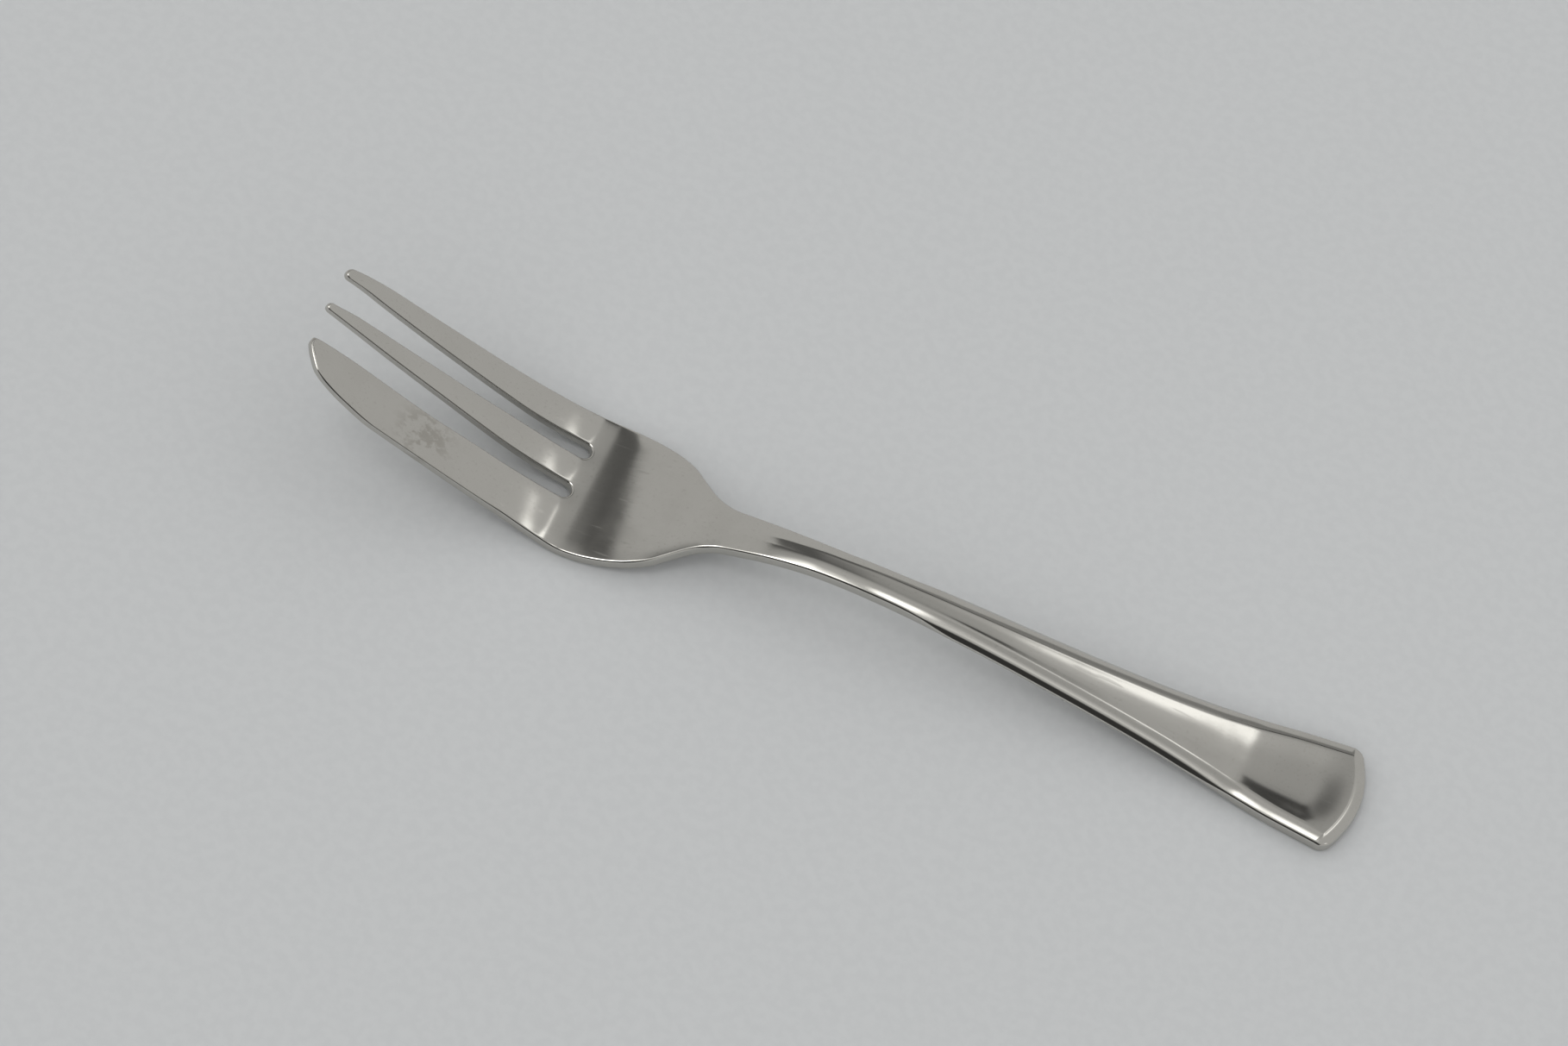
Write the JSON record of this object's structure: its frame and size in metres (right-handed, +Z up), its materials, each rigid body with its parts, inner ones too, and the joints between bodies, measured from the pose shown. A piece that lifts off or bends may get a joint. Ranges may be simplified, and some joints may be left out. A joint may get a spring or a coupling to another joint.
{
  "type": "pastry fork",
  "caption": "Pressed steel pastry fork with slim tines, one broad cutting tine, a shallow bent head and an arched handle that widens to a bowed end with a sunk panel.",
  "frame": {"origin": "middle of the fork's length and width, at the level of the table that it lies on", "axes": "+X along the fork from the tines to the handle end, +Z up, the broad cutting tine on the -Y side"},
  "size_m": [0.15, 0.0226, 0.0157],
  "materials": {
    "steel": "finely polished stainless steel with light wear"
  },
  "bodies": {
    "root": {"pastry_fork": "steel"}
  },
  "joints": []
}
